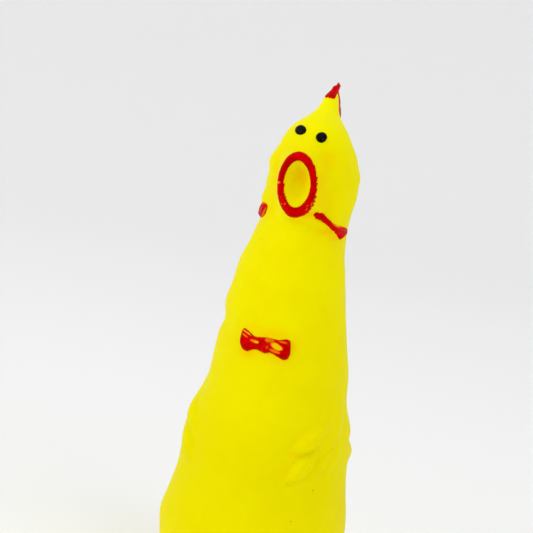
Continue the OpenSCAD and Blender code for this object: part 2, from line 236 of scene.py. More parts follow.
def shape_face(t, level, x, y, z):
    """Moves places on the head's front: the muzzle out, the dish of the mouth and the creases in."""
    p, q = mouth_plane(x, z)
    front = (np.cos(t) > 0) & (level > FACE_LEVELS[0]) & (level < FACE_LEVELS[1])
    muzzle = 1 - smooth(0.50, 1.0, oval_far(p, q, MUZZLE_HALF))
    dish = 1 - smooth(0.30, 1.0, oval_far(p, q, DISH_HALF))
    dish = dish * (1 + DISH_TILT * np.clip(q / DISH_HALF[1], -1, 1))
    crease = sum(deep * crease_at(p, q, *place) for *place, deep in CREASES)
    push = np.where(front, MUZZLE_HIGH * muzzle - DISH_DEEP * dish - crease, 0)
    # the muzzle flattens the curve of the face: the sides of the plateau come forward
    flat = np.where(front, muzzle * (y - (centre_y(level) - half_depth(level))) * MUZZLE_FLAT, 0)
    return x, y - push * math.cos(MOUTH_LEAN) - flat, z + push * math.sin(MOUTH_LEAN)


def skin(turn, level, relief=True):
    """Places on the outside of the moulded skin. turn is the azimuth in degrees from the front towards +X."""
    turn, level = np.broadcast_arrays(np.asarray(turn, float), np.asarray(level, float))
    t = np.radians(turn)
    rx, ry = half_width(level), half_depth(level)
    x = centre_x(level) + rx * np.sin(t)
    y = centre_y(level) - ry * np.cos(t)
    z = height_at(level)
    if relief:
        # outward direction, flat in plan
        nx, ny = np.sin(t) / np.maximum(rx, 0.3), -np.cos(t) / np.maximum(ry, 0.3)
        n = np.sqrt(nx * nx + ny * ny)
        nx, ny = nx / n, ny / n
        keep = smooth(*UNEVEN_FROM, level) * (1 - smooth(*UNEVEN_TO, level))
        bump = casting_bumps(t, turn, level, rx) * keep
        bump = bump + wing_relief(wrapped(turn), level) * (level < WING_TOP)
        x, y, z = shape_face(t, level, x + nx * bump, y + ny * bump, z)
    return np.stack([x, y, z], -1)


def skin_normal(turn, level):
    """Outward normals of the skin, from places close by on both sides."""
    turn_step, level_step = 0.6, 0.12
    along_turn = skin(turn + turn_step, level) - skin(turn - turn_step, level)
    along_level = skin(turn, level + level_step) - skin(turn, level - level_step)
    n = np.cross(along_turn, along_level)
    return n / np.maximum(np.linalg.norm(n, axis=-1, keepdims=True), 1e-12)


def front_turn(x, z):
    """Azimuth and level of the skin at a place seen from the front, found by a few corrections."""
    tries, share = 12, 0.8
    x, z = np.broadcast_arrays(np.asarray(x, float), np.asarray(z, float))
    level = z.copy()
    turn = np.degrees(np.arcsin(np.clip((x - centre_x(level)) / half_width(level), -0.98, 0.98)))
    for _ in range(tries):
        at = skin(turn, level)
        turn = turn + np.degrees((x - at[..., 0]) / half_width(level)) * share
        level = level + (z - at[..., 2]) * share
    return turn, level


# ---------------------------------------------------------------- meshes

def new_object(name, data):
    """An object in the scene that holds this mesh, light or camera."""
    obj = bpy.data.objects.new(name, data)
    bpy.context.scene.collection.objects.link(obj)
    return obj


def shade_smooth(mesh):
    """Shades all faces of a mesh as one soft surface."""
    mesh.polygons.foreach_set("use_smooth", [True] * len(mesh.polygons))


def make(name, verts, faces, material, body=None, hide=()):
    """A smooth mesh in its slot, that rides on a body and hides the CAD nodes it stands for."""
    mesh = bpy.data.meshes.new(name)
    mesh.from_pydata([tuple(v) for v in np.asarray(verts) * MM], [], faces)
    mesh.validate()
    shade_smooth(mesh)
    mesh.materials.append(MATERIALS[material])
    obj = new_object(name, mesh)
    if hide:
        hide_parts(*hide)
    if body:
        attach(obj, body)
    return obj


def outward(obj):
    """Turns every face of a closed mesh outward."""
    bm = bmesh.new()
    bm.from_mesh(obj.data)
    bmesh.ops.recalc_face_normals(bm, faces=bm.faces)
    bm.to_mesh(obj.data)
    bm.free()


def ring_faces(first, second, cols):
    """Quads between two rings of cols points that start at these indices."""
    return [(first + i, first + (i + 1) % cols, second + (i + 1) % cols, second + i) for i in range(cols)]


def sheet_faces(rows, cols, close=False):
    """Faces of a sheet with two sides of rows by cols points, the under side after the upper one.
    close says that the columns run round a ring."""
    n = rows * cols
    wide = cols if close else cols - 1
    last = n - cols
    faces = []
    for r in range(rows - 1):
        for c in range(wide):
            a, b = r * cols + c, r * cols + (c + 1) % cols
            faces.append((a, b, b + cols, a + cols))
            faces.append((n + b, n + a, n + a + cols, n + b + cols))
    for a in range(wide):
        b = (a + 1) % cols
        faces.append((n + a, n + b, b, a))
        faces.append((last + a, last + b, n + last + b, n + last + a))
    if not close:
        for a in range(0, last, cols):
            b = a + cols
            faces.append((a, b, n + b, n + a))
            faces.append((b + cols - 1, a + cols - 1, n + a + cols - 1, n + b + cols - 1))
    return faces


def mesh_values(items, name, kind=float, width=1):
    """One property of a mesh's points, corners or faces. With a width, there is a row for each."""
    values = np.empty(len(items) * width, kind)
    items.foreach_get(name, values)
    return values.reshape(-1, width) if width > 1 else values


def paint_attribute(obj, name, values):
    """A number for each point, that a material reads by its name."""
    a = obj.data.attributes.new(name, "FLOAT", "POINT")
    a.data.foreach_set("value", np.asarray(values, np.float32).ravel())


def set_outer_normals(mesh, known):
    """Shading normals of the outside, the first points of the mesh, come from the whole skin, so that no
    seam shows where two pieces meet."""
    corner_point = mesh_values(mesh.loops, "vertex_index", int)
    starts = mesh_values(mesh.polygons, "loop_start", int)
    face_of_corner = np.repeat(np.arange(len(starts)), mesh_values(mesh.polygons, "loop_total", int))
    face_normal = mesh_values(mesh.polygons, "normal", width=3)[face_of_corner]
    is_outer = (np.maximum.reduceat(corner_point, starts) < len(known))[face_of_corner]
    own_normal = known[np.minimum(corner_point, len(known) - 1)]
    normals = np.where(is_outer[:, None], own_normal, face_normal)
    mesh.normals_split_custom_set([tuple(n) for n in normals])


def inner_ring(turns, level):
    """A ring of the plain inside: WALL in from the outside, but never more than half way to the middle."""
    at = skin(turns, np.full(len(turns), level), relief=False)
    out = at - np.array([float(centre_x(level)), float(centre_y(level)), 0])
    out[:, 2] = 0
    long = np.linalg.norm(out, axis=1, keepdims=True)
    return at - out / long * np.minimum(WALL, long * 0.5)


def skin_shell(name, levels, inner_levels, cols, foot=(), crown=False):
    """A closed shell: the sculpted outside over levels, and a plain inside over inner_levels from top to
    bottom. foot is the rings of the base as (radius, height) from the inside out. crown closes both skins
    at the top."""
    turns = np.arange(cols) * 360.0 / cols
    a = np.radians(turns)
    rows = [skin(turns, np.full(cols, level)) for level in levels]
    known = np.concatenate([skin_normal(turns, np.full(cols, level)) for level in levels])
    top = len(rows) - 1
    rows += [inner_ring(turns, level) for level in inner_levels]
    rows += [np.stack([r * np.sin(a), -r * np.cos(a), np.full(cols, z)], -1) for r, z in foot]
    verts = np.concatenate(rows)
    faces = []
    for k in range(len(rows) - 1):
        if not (crown and k == top):
            faces += ring_faces(k * cols, (k + 1) * cols, cols)
    if crown:
        tip = rows[top].mean(0) + [0, 0.1, 0.25]
        roof = rows[top + 1].mean(0) + [0, 0, 0.5]
        verts = np.concatenate([verts, [tip, roof]])
        over, under = top * cols, (top + 1) * cols
        faces += [(over + i, over + (i + 1) % cols, len(verts) - 2) for i in range(cols)]
        faces += [(under + (i + 1) % cols, under + i, len(verts) - 1) for i in range(cols)]
    faces += ring_faces((len(rows) - 1) * cols, 0, cols)
    obj = make(name, verts, faces, "skin")
    outward(obj)
    set_outer_normals(obj.data, known)
    return obj


def add_orange_and_shade(obj):
    """Where the skin is painted a deeper orange: over the mouth's dish with painted shade deepest at its top,
    orange stains with painted shade round the relief, and painted shade in the creases.
    """
    x, y, z = (mesh_values(obj.data.vertices, "co", width=3) / MM).T
    p, q = mouth_plane(x, z)
    inside = 1 - smooth(0.2, 1.0, oval_far(p, q, DISH_HALF))
    inside *= (y < 0) & (z > 120)
    # faint orange over the whole dish, and painted shade strongest near its top where the dish is deepest
    orange_and_shade = inside * (0.08 + 0.78 * np.exp(-((p - 0.9) / 2.8) ** 2 - ((q - 4.0) / 3.8) ** 2))
    # orange stains and painted shade round the bow tie, round the mouth, under the wattle and before the
    # feathers' ends
    for at_x, at_z, wide, tall, strength in STAINS_AND_SHADE:
        spot = np.exp(-((x - at_x) / wide) ** 2 - ((z - at_z) / tall) ** 2)
        orange_and_shade = np.maximum(orange_and_shade, strength * spot * (y < -2))
    # painted shade in the creases beside the muzzle
    for *place, _ in CREASES:
        fold = crease_at(p, q, *place) * (y < 0) * (z > FACE_LEVELS[0])
        orange_and_shade = np.maximum(orange_and_shade, 0.30 * fold)
    paint_attribute(obj, "orange_and_shade", orange_and_shade)


def patch(name, body, hide, material, turn, level, rise, close=True, sink=0.35, wear=None, across=None):
    """A raised piece that follows the skin. turn, level and rise are grids of the same shape, rows by
    columns. close says that the columns run round a ring. The underside is sunk into the skin. wear is how
    worn the paint is, and across is the place across the brush's stroke in millimetres."""
    at, out = skin(turn, level), skin_normal(turn, level)
    top = at + out * rise[..., None]
    low = at - out * sink
    verts = np.concatenate([top.reshape(-1, 3), low.reshape(-1, 3)])
    obj = make(name, verts, sheet_faces(*turn.shape, close), material, body, hide)
    outward(obj)
    if wear is not None:
        paint_attribute(obj, "wear", np.concatenate([wear.ravel(), wear.ravel() * 0]))
    if across is not None:
        paint_attribute(obj, "across", np.concatenate([across.ravel(), across.ravel()]) * MM)


def waves(x, seed, base):
    """Ragged line made of a few sines, for the edges of brushed paint. Its height is about 1."""
    rng = np.random.default_rng(seed)
    total = np.zeros_like(x)
    for k in range(7):
        turns = round(base * 1.42 ** k)
        total += np.sin(turns * x + rng.uniform(0, TAU)) / (1 + 0.25 * k)
    return total / 2.2


# ---------------------------------------------------------------- materials

class Nodes:
    """A short way to write a material's nodes."""

    def __init__(self, name):
        self.material = bpy.data.materials.new(name)
        self.material.use_nodes = True
        self.tree = self.material.node_tree
        self.shader = self.tree.nodes["Principled BSDF"]
        self.place = self.add("ShaderNodeTexCoord").outputs["Object"]

    def add(self, kind, links=None, **settings):
        node = self.tree.nodes.new(kind)
        for key, value in settings.items():
            setattr(node, key, value)
        for key, value in (links or {}).items():
            self.put(node.inputs[key], value)
        return node

    def put(self, socket, value):
        if isinstance(value, bpy.types.NodeSocket):
            self.tree.links.new(value, socket)
        else:
            socket.default_value = value

    def set(self, **values):
        for key, value in values.items():
            self.put(self.shader.inputs[key.replace("_", " ")], value)

    def noise(self, scale, detail=3.0, roughness=0.5, stretch=(1, 1, 1), distortion=0.0):
        place = self.add("ShaderNodeMapping", {"Vector": self.place, "Scale": stretch}).outputs[0]
        links = {"Vector": place, "Scale": scale, "Detail": detail, "Roughness": roughness,
                 "Distortion": distortion}
        return self.add("ShaderNodeTexNoise", links).outputs["Fac"]

    def ramp(self, value, low, high, a=0.0, b=1.0):
        links = {"Value": value, "From Min": low, "From Max": high, "To Min": a, "To Max": b}
        return self.add("ShaderNodeMapRange", links, interpolation_type="SMOOTHSTEP").outputs[0]

    def math(self, operation, a, b=0.0):
        return self.add("ShaderNodeMath", {0: a, 1: b}, operation=operation).outputs[0]

    def mix(self, share, a, b):
        node = self.add("ShaderNodeMix", data_type="RGBA")
        self.put(node.inputs[0], share)
        self.put(node.inputs[6], a)
        self.put(node.inputs[7], b)
        return node.outputs[2]

    def attribute(self, name):
        return self.add("ShaderNodeAttribute", attribute_name=name).outputs["Fac"]

    def bump(self, height, strength, distance_mm, under=None):
        links = {"Height": height, "Strength": strength, "Distance": distance_mm * MM}
        if under is not None:
            links["Normal"] = under
        return self.add("ShaderNodeBump", links).outputs[0]


# Colours of the skin: two mottled, painted shade low down, cloudy, painted light at the crown, orange stains
# and painted shade, and its specks
SKIN_MOTTLE = (0.85, 0.745, 0.0, 1), (0.87, 0.79, 0.0, 1)
SKIN_LOW_PAINTED_SHADE = (0.76, 0.67, 0.0, 1)
SKIN_CLOUD = (0.825, 0.69, 0.0, 1)
SKIN_CROWN_PAINTED_LIGHT = (0.92, 0.87, 0.0, 1)
SKIN_ORANGE_AND_SHADE = (0.92, 0.52, 0.0, 1)
SKIN_SPECK = (0.28, 0.24, 0.03, 1)
# Red paint: bright and dark streaks for most pieces, then thin, thinner and nearly bare
RED_BRIGHT, RED_DARK = (0.66, 0.0, 0.0005, 1), (0.44, 0.0, 0.001, 1)
RED_THIN = (0.76, 0.04, 0.005, 1)
RED_ORANGE = (0.84, 0.15, 0.003, 1)
RED_BARE = (0.83, 0.54, 0.0, 1)


def skin_material():
    """Matt yellow vinyl rubber: faintly mottled, orange-peel surface, tiny pits and a few dark specks."""
    m = Nodes("skin_rubber")
    mottle = m.ramp(m.noise(55, 3, 0.55), 0.35, 0.7)
    colour = m.mix(mottle, *SKIN_MOTTLE)
    # z is the height in metres
    z = m.add("ShaderNodeSeparateXYZ", {0: m.place}).outputs[2]
    # painted shade over the lower body, taken off again just above the floor as a painted bounce of light
    # from the floor
    low = m.math("MULTIPLY", m.ramp(z, 0.02, 0.125, 0.50, 0), m.ramp(z, 0.014, 0.036, 0.1, 1))
    colour = m.mix(low, colour, SKIN_LOW_PAINTED_SHADE)
    cloud = m.ramp(m.noise(160, 4, 0.6), 0.45, 0.8, 0, 0.35)
    colour = m.mix(cloud, colour, SKIN_CLOUD)
    # painted light: the crown is paler where light from above falls on the top of the head
    crown = m.ramp(z, 0.140, 0.157, 0, 0.8)
    colour = m.mix(crown, colour, SKIN_CROWN_PAINTED_LIGHT)
    # orange stains and painted shade, read from the attribute
    colour = m.mix(m.attribute("orange_and_shade"), colour, SKIN_ORANGE_AND_SHADE)
    for turn, level, size in SPECKS:
        middle = tuple(float(v) * MM for v in skin(turn, level))
        far = m.add("ShaderNodeVectorMath", {0: m.place, 1: middle}, operation="DISTANCE").outputs["Value"]
        colour = m.mix(m.ramp(far, size * 0.4 * MM, size * MM, 0.7, 0), colour, SKIN_SPECK)
    peel = m.noise(620, 3, 0.55)
    cells = m.add("ShaderNodeTexVoronoi", {"Vector": m.place, "Scale": 300.0}).outputs["Distance"]
    pits = m.ramp(cells, 0.05, 0.14, 0, 1)
    soft = m.bump(m.noise(120, 2, 0.5), 0.35, 0.25)
    fine = m.bump(peel, 0.16, 0.12, soft)
    normal = m.bump(pits, 0.12, 0.10, fine)
    rough = m.ramp(m.noise(210, 4, 0.6), 0.3, 0.75, 0.44, 0.60)
    m.set(Base_Color=colour, Roughness=rough, Normal=normal)
    m.set(Specular_IOR_Level=0.03, Specular_Tint=(1.0, 0.92, 0.05, 1))
    return m.material


def paint_material(name, stretch, bright, dark, worn=0.5, brushed=False):
    """Brushed red paint over the yellow rubber: streaks of thin and thick paint, worn where the wear
    attribute says. brushed says that the strokes run along the piece, by its across attribute."""
    m = Nodes(name)
    if brushed:
        x, _, z = m.add("ShaderNodeSeparateXYZ", {0: m.place}).outputs
        along, upward = m.math("MULTIPLY", x, 0.4), m.math("MULTIPLY", z, 0.4)
        over = m.math("MULTIPLY", m.attribute("across"), 1.8)
        m.place = m.add("ShaderNodeCombineXYZ", {0: along, 1: upward, 2: over}).outputs[0]
    streak = m.noise(430, 4, 0.65, stretch, 0.6)
    colour = m.mix(m.ramp(streak, 0.38, 0.60), dark, bright)
    thin = m.ramp(m.noise(420, 3, 0.6, stretch), 0.60, 0.78, 0, worn)
    colour = m.mix(thin, colour, RED_THIN)
    wear = m.attribute("wear")
    fray = m.math("MULTIPLY", m.math("SUBTRACT", m.noise(900, 3, 0.65, stretch), 0.5), 0.6)
    ragged = m.math("ADD", wear, fray)
    orange = m.ramp(ragged, 0.28, 0.50)
    bare = m.ramp(ragged, 0.55, 0.72)
    colour = m.mix(orange, colour, RED_ORANGE)
    colour = m.mix(bare, colour, RED_BARE)
    height = m.math("SUBTRACT", streak, m.math("MULTIPLY", bare, 0.6))
    broad = m.bump(m.noise(330, 2, 0.5), 0.25, 0.12)
    normal = m.bump(height, 0.35, 0.10, broad)
    rough = m.ramp(m.noise(480, 3, 0.6, stretch), 0.3, 0.7, 0.32, 0.50)
    m.set(Base_Color=colour, Roughness=rough, Normal=normal)
    m.set(Specular_IOR_Level=0.05, Specular_Tint=(1.0, 0.12, 0.1, 1))
    return m.material


def eye_material():
    """Thick glossy black enamel dot, slightly uneven."""
    m = Nodes("eye_enamel")
    cloud = m.ramp(m.noise(900, 3, 0.6), 0.35, 0.75)
    colour = m.mix(cloud, (0.001, 0.001, 0.001, 1), (0.009, 0.008, 0.008, 1))
    normal = m.bump(m.noise(520, 2, 0.5), 0.35, 0.12)
    rough = m.ramp(m.noise(1200, 2, 0.5), 0.3, 0.7, 0.16, 0.34)
    m.set(Base_Color=colour, Roughness=rough, Normal=normal, Specular_IOR_Level=0.05)
    return m.material


def plastic_material(name, a, b, low, high):
    """Moulded plastic of the squeaker: fine grain and flow marks."""
    m = Nodes(name)
    colour = m.mix(m.ramp(m.noise(140, 3, 0.55), 0.35, 0.7), a, b)
    flow = m.bump(m.noise(240, 2, 0.5, (1, 1, 0.3)), 0.2, 0.08)
    normal = m.bump(m.noise(1500, 3, 0.6), 0.15, 0.05, flow)
    rough = m.ramp(m.noise(600, 3, 0.6), 0.3, 0.7, low, high)
    m.set(Base_Color=colour, Roughness=rough, Normal=normal)
    return m.material


def floor_material():
    """Plain, pale and matt."""
    m = Nodes("floor_pale")
    colour = m.mix(m.noise(3, 3, 0.5), (0.965, 0.965, 0.96, 1), (0.975, 0.975, 0.97, 1))
    normal = m.bump(m.noise(900, 2, 0.5), 0.05, 0.1)
    m.set(Base_Color=colour, Roughness=0.9, Specular_IOR_Level=0.1, Normal=normal)
    return m.material


MATERIALS = {
    "skin": skin_material(),
    "lip": paint_material("lip_paint", (1.0, 1.0, 1.0), (0.60, 0.0, 0.0005, 1), (0.46, 0.0, 0.001, 1),
                          0.15, True),
    "bow": paint_material("bow_paint", (0.7, 1.0, 1.0), RED_BRIGHT, RED_DARK, 0.7),
    "wattle": paint_material("wattle_paint", (1.0, 1.0, 1.0), RED_BRIGHT, RED_DARK, 0.7, True),
    "comb": paint_material("comb_paint", (1.0, 1.0, 0.45), RED_BRIGHT, RED_DARK),
    "foot": paint_material("foot_paint", (1.0, 0.45, 1.0), (0.62, 0.0015, 0.003, 1),
                           (0.36, 0.0, 0.003, 1)),
    "eye": eye_material(),
    "squeaker": plastic_material("squeaker_plastic", (0.80, 0.77, 0.68, 1), (0.86, 0.84, 0.76, 1),
                                 0.38, 0.52),
    "reed": plastic_material("reed_film", (0.82, 0.82, 0.80, 1), (0.9, 0.9, 0.87, 1), 0.12, 0.22),
}


# ---------------------------------------------------------------- the three pieces of skin

# The base of the torso's skin, as (radius, height) from the inside out: the hollow's floor, the well that
# holds the squeaker, and the flat ring that it stands on
BASE_RINGS = [(25.6, 7.4), (24.2, 5.2), (22.4, 4.5), (16, 4.5), (10.35, 4.5), (10.08, 4.3), (10.06, 2.35),
              (10.2, 2.15), (12.6, 2.12), (12.85, 1.95), (12.88, 0.4), (13.2, 0.06), (15, 0), (19, 0),
              (22.6, 0)]
BASE_LEVELS = [0, 0.7, 1.4, 2, 2.6, 3.2, 3.8, 4.4, 5, 5.6, 6.2, 6.9, 7.6, 8.3]


def steps(a, b, gap):
    """Values from a to b, about gap apart."""
    return list(np.linspace(a, b, max(2, round((b - a) / gap) + 1)))


def build_skins():
    """The torso, the neck and the head, each a closed shell that meets the next at a seam."""
    body = skin_shell("body_skin", BASE_LEVELS + steps(9, SEAM_LOW, 0.62),
                      np.linspace(SEAM_LOW, 11, 34), 360, foot=BASE_RINGS)
    neck = skin_shell("neck_skin_soft", steps(SEAM_LOW, SEAM_HIGH, 0.55),
                      np.linspace(SEAM_HIGH, SEAM_LOW, 14), 360)
    head = skin_shell("head_skin_soft", steps(SEAM_HIGH, 156, 0.30) + steps(156.25, LEVEL_TIP, 0.25),
                      np.linspace(152, SEAM_HIGH, 40), 480, crown=True)
    for piece in (body, neck, head):
        add_orange_and_shade(piece)
    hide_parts("torso_skin", "belly_panel", "wing_left", "wing_right")
    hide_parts("neck_skin")
    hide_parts("head_skin")
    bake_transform(body)
    co = mesh_values(body.data.vertices, "co", width=3)
    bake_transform(neck)
    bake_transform(head)


# ---------------------------------------------------------------- the painted relief

# Teeth that the brush left on the lip's edges: from and to round the lip in degrees, and how far the band
# grows. Those outside grow to their end, those inside shrink to it
LIP_TEETH = [(-72, -62, 0.24), (-62, -53, 0.40), (-53, -44, 0.46), (-44, -35, 0.50), (-35, -27, 0.46),
             (-27, -18, 0.40), (-18, -4, 0.30), (-4, 7, 0.38), (7, 17, 0.42), (17, 41, 0.26),
             (41, 62, 0.12)]
LIP_TEETH_IN = [(180, 203, 0.45), (203, 212, 0.36), (212, 221, 0.36), (221, 230, 0.30), (230, 243, 0.18)]
# Corner at the bottom of the lip, and the flat beside it: place, half width in degrees, growth
LIP_CORNER = [(-105, 9, 0.17), (-128, 12, -0.10)]
# Strokes where its paint is worn: place round the lip and half length in degrees, place and half width
# across the band, and strength
LIP_WORN = [(178, 4, 0.0, 0.6, 0.66), (206, 5, 0.3, 0.14, 0.52), (209, 4, -0.25, 0.14, 0.46),
            (224, 5, 0.0, 0.16, 0.55), (230, 4, -0.5, 0.14, 0.50), (-36, 9, 0.35, 0.16, 0.50),
            (-44, 8, -0.1, 0.16, 0.44), (-52, 7, 0.15, 0.14, 0.42), (-24, 6, 0.55, 0.18, 0.46),
            (14, 4, 0.8, 0.3, 0.42), (60, 5, 0.85, 0.2, 0.36)]


def round_off(t, where, half):
    """Weight of a place round a ring, with half in degrees."""
    return np.exp(-(wrapped(np.degrees(t) - where) / half) ** 2)


def tooth(t, low, high, grow):
    """One tooth of a ring's edge: nothing at low, grow at high, both in degrees, and nothing beyond."""
    first, last = min(low, high), max(low, high)
    here = (np.degrees(t) - first) % 360
    inside = here < last - first
    return inside * grow * np.abs((here + first - low) / (high - low)) ** 0.8


def lip_edges(t):
    """Half width of the lip's band outward and inward of its middle line: thicker at the top and thickest at
    the bottom, ragged where the brush ran over."""
    half = 0.84 + 0.67 * np.abs(np.sin(t)) ** 1.6 - 0.03 * np.cos(t) - 0.13 * np.sin(t)
    outer = half + 0.035 * waves(t, 5, 7) + np.clip(np.cos(t + 0.4), 0, 1) ** 2 * 0.06 * waves(t, 7, 23)
    inner = half + 0.03 * waves(t, 11, 7) + 0.04 * waves(t, 15, 23)
    outer = outer + sum(grow * round_off(t, where, wide) for where, wide, grow in LIP_CORNER)
    outer = outer - 0.13 * smooth(-0.2, 0.9, np.cos(t + 0.25)) + sum(tooth(t, *place) for place in LIP_TEETH)
    teeth_in = sum(tooth(t, end, start, grow) for start, end, grow in LIP_TEETH_IN)
    inner = inner - 0.14 * round_off(t, 208, 26) + teeth_in
    return outer, inner


def build_lip():
    """The raised red ring round the mouth."""
    cols, rows = 560, 21
    t = np.arange(cols) / cols * TAU
    s = np.linspace(-1, 1, rows)[:, None]
    outer, inner = lip_edges(t)
    shift = np.where(s > 0, s * outer, s * inner)
    p = (LIP_HALF[0] + 0.08 * np.cos(t)) * np.cos(t) + shift * np.cos(t)
    q = (LIP_HALF[1] + 0.10 * np.sin(t)) * np.sin(t) + shift * np.sin(t)
    turn, level = front_turn(*from_mouth_plane(p, q))
    rise = 0.10 + LIP_HIGH * (1 - np.abs(s) ** 2.4) ** 0.8 * (1 + 0.08 * waves(t, 17, 5))
    wear = np.zeros_like(rise)
    for where, wide, across, narrow, strength in LIP_WORN:
        stroke = strength * round_off(t, where, wide) * np.exp(-((s - across) / narrow) ** 2)
        wear = np.maximum(wear, stroke)
    patch("lip_ring", "head", ["mouth_lip"], "lip", turn, level, rise, wear=wear, across=shift)


# Wattles, 1 for the left and -1 for the right: first and last azimuth, and by azimuth the level of the
# middle line and the half width
WATTLE_TURNS = {1: (28, 88.5), -1: (46, 102)}
WATTLE_LINE = {1: spline([(26, 124.5), (34, 123.8), (43, 122.6), (52, 121.3), (70, 119.6), (90, 118.0),
                          (104, 117.2)]),
               -1: spline([(44, 123.7), (52, 122.7), (60, 121.7), (70, 120.7), (80, 120.1),
                           (104, 119.0)])}
WATTLE_HALF = {1: spline([(26, 1.05), (33, 1.12), (40, 0.95), (47, 0.75), (56, 0.85), (70, 1.2),
                          (82, 1.75), (104, 1.9)]),
               -1: spline([(44, 0.9), (52, 1.7), (60, 1.95), (68, 1.7), (80, 1.2), (104, 1.4)])}
WATTLE_SEEDS = {1: 21, -1: 33}
WATTLE_HIGH = 1.05


def build_wattle(side):
    """A raised strip from beside the mouth back along the jaw, squared off at its end."""
    cols, rows = 70, 15
    t = np.linspace(0, 1, cols)
    s = np.linspace(-1, 1, rows)[:, None]
    seed = WATTLE_SEEDS[side]
    first, last = WATTLE_TURNS[side]
    turn_mid = first + (last - first) * t
    level_mid = WATTLE_LINE[side](turn_mid)
    half = WATTLE_HALF[side](turn_mid)
    half = half * (smooth(-0.06, 0.10, t) * 0.75 + 0.25) * (1 - 0.25 * smooth(0.965, 1.0, t))
    lower = half * (1 + 0.10 * waves(t * TAU, seed, 5))
    upper = half * (1 + 0.13 * waves(t * TAU, seed + 1, 6))
    shift = np.where(s > 0, s * upper, s * lower)
    turn = turn_mid + shift * (2.0 + 2.4 * t)
    level = level_mid + shift * 0.92
    rise = WATTLE_HIGH * (1 - np.abs(s) ** 2.2) ** 0.75 * (0.55 + 0.45 * smooth(0, 0.12, t))
    rise = 0.08 + rise * (1 - 0.75 * smooth(0.97, 1.0, t)) * (1 + 0.04 * waves(t * TAU, seed + 2, 3))
    thin = 0.16 * smooth(0.3, 0.5, t) * (1 - smooth(0.5, 0.65, t)) + 0.12 * smooth(0.5, 1, np.abs(s))
    if side < 0:
        thin = thin + 0.42 * (1 - smooth(0.25, 0.6, t)) * (0.6 + 0.4 * np.sin(s * 8 + 9 * t))
    else:
        thin = thin + 0.42 * smooth(0.3, 0.42, t) * (1 - smooth(0.55, 0.7, t)) * smooth(0.0, 0.5, s)
    name = "wattle_left" if side > 0 else "wattle_right"
    patch(name + "_paint", "head", [name], "wattle", side * turn, level, rise, close=False,
          wear=thin, across=shift)


# The bow tie's middle and its turn in the picture's plane
BOW_X, BOW_Z = 1.1, 81.6
BOW_TILT = math.radians(-1.0)
# Its outline, from one end to the other: how far each edge is from the middle line
BOW_TOP = spline([(-8.7, 2.2), (-8.5, 3.1), (-8.0, 3.5), (-7.0, 3.3), (-5.6, 2.7), (-3.9, 1.95),
                  (-2, 2.15), (0, 2.4), (2.2, 2.45), (3.9, 2.35), (5.6, 2.85), (6.7, 2.95), (7.4, 2.5),
                  (7.85, 1.0), (8.25, -1.0)])
BOW_LOW = spline([(-8.7, 1.7), (-8.45, 0.3), (-8.1, -1.3), (-7.7, -2.3), (-6.8, -2.95), (-5.3, -3.1),
                  (-3.8, -2.3), (-2.6, -1.95), (-0.7, -2.2), (0.6, -2.45), (2.1, -2.0), (3.9, -2.45),
                  (5.4, -3.05), (6.6, -3.4), (7.5, -3.2), (8.05, -2.6), (8.25, -1.8)])
BOW_ENDS = (-8.7, 8.25)
KNOT_ENDS = (-1.1, 1.75)
# Patches where the brush missed or the paint wore off: place, half sizes, turn in degrees and strength.
# On the loops, those stronger than BARE_DEEP are also lower than the paint round them
BARE_DEEP = 0.9
BOW_BARE = [(-3.3, 0.45, 1.5, 0.6, -4, 0.62), (-2.7, 0.35, 0.9, 0.5, 0, 0.95),
            (3.75, 0.2, 2.1, 0.95, -21, 0.98), (-6.5, 2.5, 2.2, 0.30, -19, 0.66),
            (-6.7, 1.45, 1.7, 0.34, -20, 0.55), (1.3, 1.75, 1.8, 0.9, 2, 0.52),
            (3.4, -1.25, 2.4, 0.6, -12, 0.52), (5.2, 1.9, 2.0, 0.6, -8, 0.42),
            (1.0, 0.2, 0.7, 1.6, 0, 0.36)]


def bow_grid(ends, cols, rows):
    """Places on the bow tie between two ends: along it, up from its middle line, and the share of the way
    from its lower edge to its upper one."""
    a = np.linspace(*ends, cols)
    top = BOW_TOP(a) + 0.05 * waves(a * 0.9, 41, 5)
    low = BOW_LOW(a) + 0.05 * waves(a * 0.9, 43, 5)
    s = np.linspace(0, 1, rows)[:, None]
    return a + 0 * s, low + (top - low) * s, s


def bare_spot(a, b, at_a, at_b, half_a, half_b, degrees):
    """Weight of a turned oval: 1 inside, and fading to 0 outside."""
    c, d = math.cos(math.radians(degrees)), math.sin(math.radians(degrees))
    u = ((a - at_a) * c + (b - at_b) * d) / half_a
    v = (-(a - at_a) * d + (b - at_b) * c) / half_b
    return 1 - smooth(0.40, 1.45, np.sqrt(u * u + v * v))


def bow_piece(name, node, ends, cols, knot):
    """The loops with their pleats, or the knot."""
    a, b, s = bow_grid(ends, cols, 41)
    pillow = smooth(-0.15, 0.9, np.minimum(s, 1 - s) * (BOW_TOP(a) - BOW_LOW(a)))
    end = np.minimum(a - ends[0], ends[1] - a)
    if knot:
        rise = 0.25 + 1.35 * pillow * smooth(-0.3, 0.8, end) + 0.1 * np.sin(a * 5)
    else:
        pillow = pillow * smooth(-0.15, 0.8, end)
        # pleats that run to the knot
        pleat = np.sin((b / (0.6 + 0.42 * np.abs(a))) * 5.0 + 0.6)
        rise = 0.12 + 1.0 * pillow + 0.10 * pleat * pillow - 0.15 * smooth(4.2, 2.0, np.abs(a))
    wear = np.zeros(a.shape)
    for *place, strength in BOW_BARE:
        hole = bare_spot(a, b, *place)
        wear = np.maximum(wear, strength * hole)
        if strength > BARE_DEEP and not knot:
            rise = rise - 0.5 * hole * (rise - 0.15)
    x = BOW_X + a * math.cos(BOW_TILT) - b * math.sin(BOW_TILT)
    z = BOW_Z + a * math.sin(BOW_TILT) + b * math.cos(BOW_TILT)
    turn, level = front_turn(x, z)
    patch(name, "torso", [node], "bow", turn, level, rise, close=False, wear=wear)


